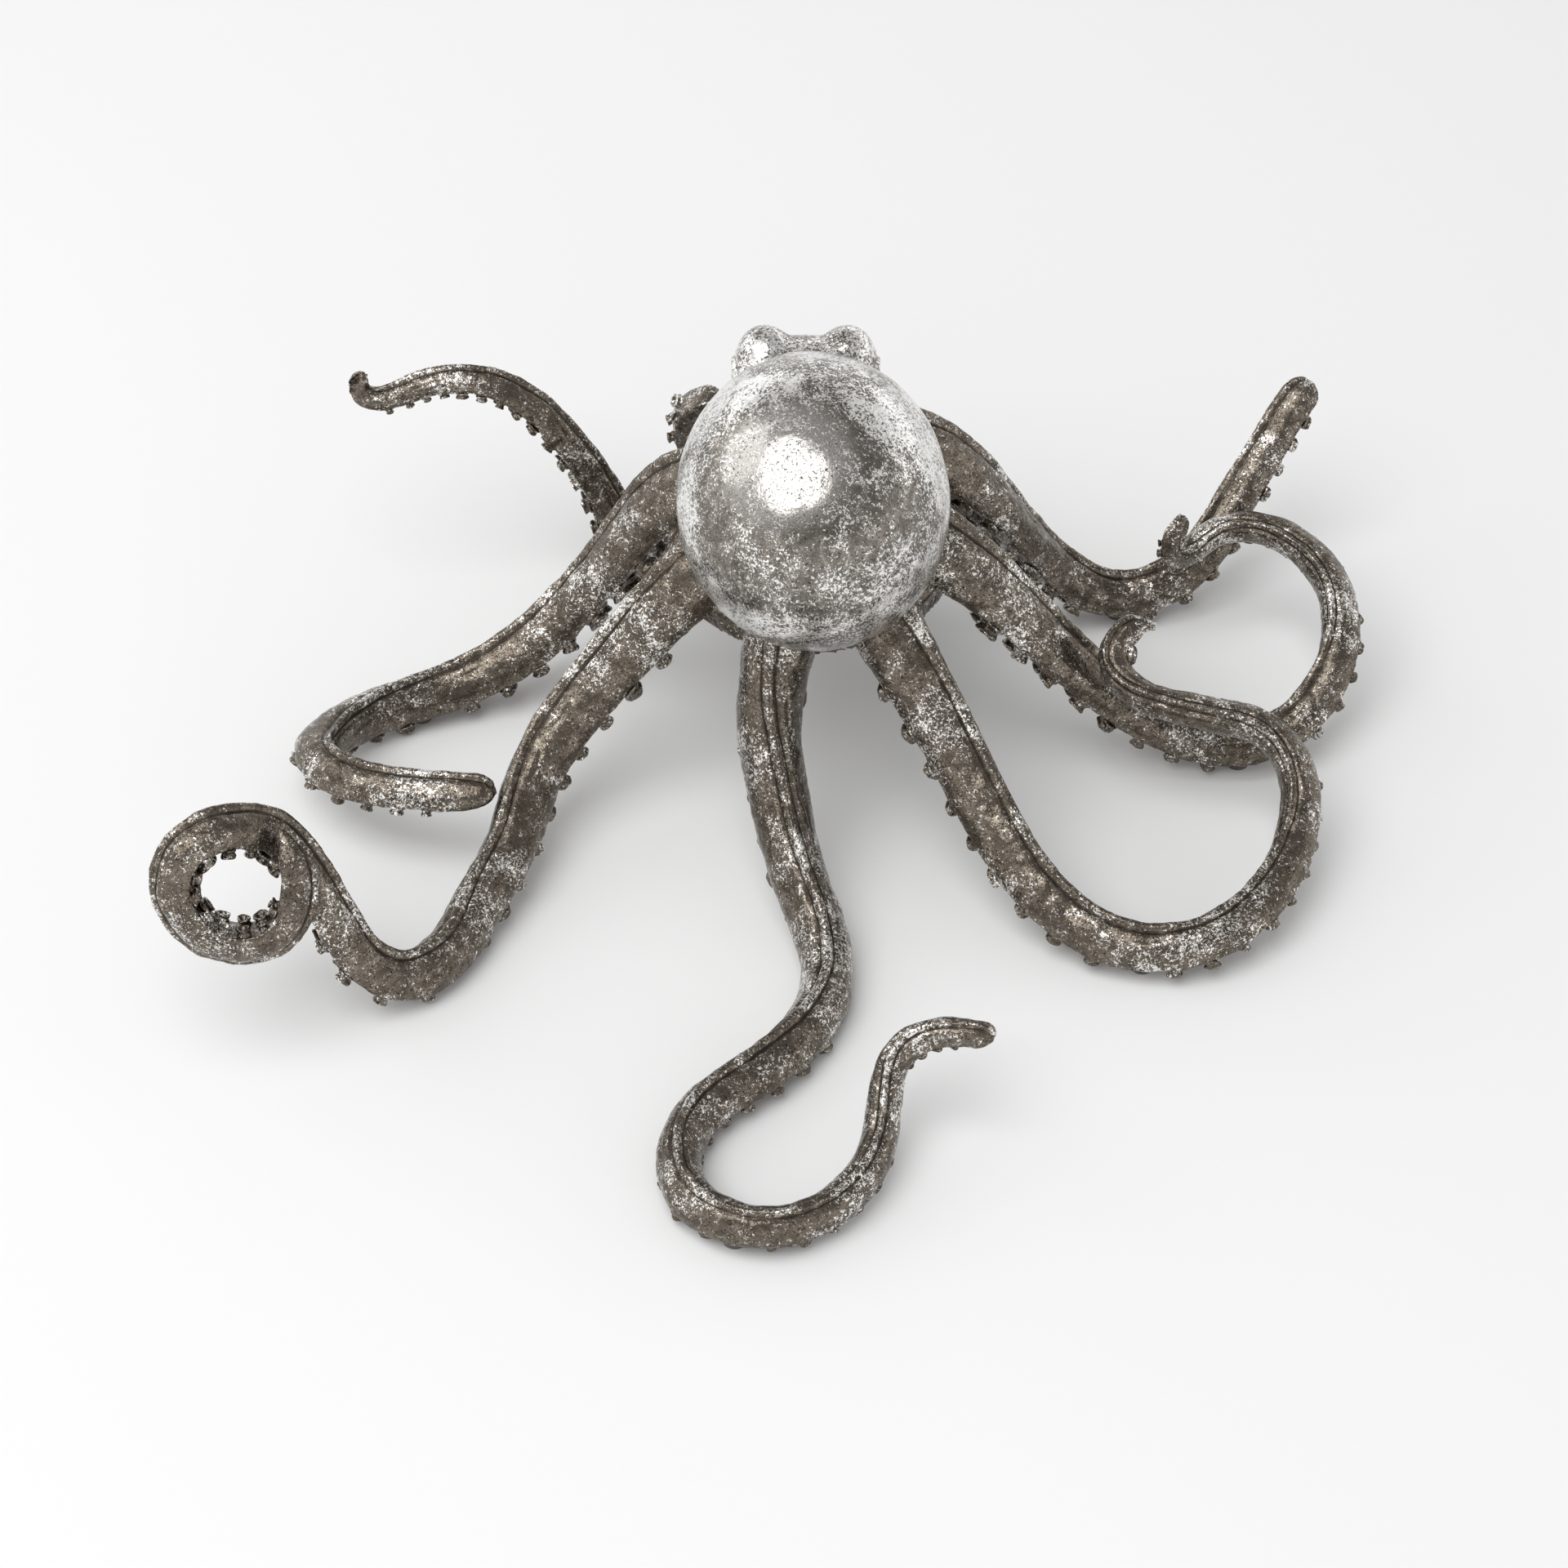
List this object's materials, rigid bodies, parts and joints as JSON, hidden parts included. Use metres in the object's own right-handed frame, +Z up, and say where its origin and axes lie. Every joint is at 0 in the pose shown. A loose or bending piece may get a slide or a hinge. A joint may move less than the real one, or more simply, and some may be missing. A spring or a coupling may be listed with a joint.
{
  "type": "octopus sculpture",
  "caption": "Free-standing metal-leafed octopus: a smooth hollow mantle and head pinned to a web, from which curling arms with sucker cups reach out and rest on felt pads.",
  "frame": {"origin": "on the surface it stands on, in the middle of the footprint", "axes": "+Z up, +Y the way the octopus looks, +X to its right; the mantle hangs back over the arms at -Y"},
  "size_m": [0.4557, 0.4038, 0.1879],
  "materials": {
    "mantle_leaf": "satin",
    "arm_leaf": "satin",
    "sucker_leaf": "satin",
    "steel": "satin",
    "felt": "matte"
  },
  "bodies": {
    "root": {"arm_back": "arm_leaf", "arm_back_left": "arm_leaf", "arm_back_right": "arm_leaf", "arm_front": "arm_leaf", "arm_front_left": "arm_leaf", "arm_front_right": "arm_leaf", "arm_left": "arm_leaf", "arm_right": "arm_leaf", "crown_web": "arm_leaf", "mantle_head": "mantle_leaf", "neck_dowel": "steel", "pad_back_1": "felt", "pad_back_left_1": "felt", "pad_back_right_1": "felt", "pad_front_1": "felt", "pad_front_2": "felt", "pad_front_left_1": "felt", "pad_front_right_1": "felt", "pad_left_1": "felt", "pad_right_1": "felt", "pin_back": "steel", "pin_back_left": "steel", "pin_back_right": "steel", "pin_front": "steel", "pin_front_left": "steel", "pin_front_right": "steel", "pin_left": "steel", "pin_right": "steel", "suckers_back": "sucker_leaf", "suckers_back_left": "sucker_leaf", "suckers_back_right": "sucker_leaf", "suckers_front": "sucker_leaf", "suckers_front_left": "sucker_leaf", "suckers_front_right": "sucker_leaf", "suckers_left": "sucker_leaf", "suckers_right": "sucker_leaf"}
  },
  "joints": []
}
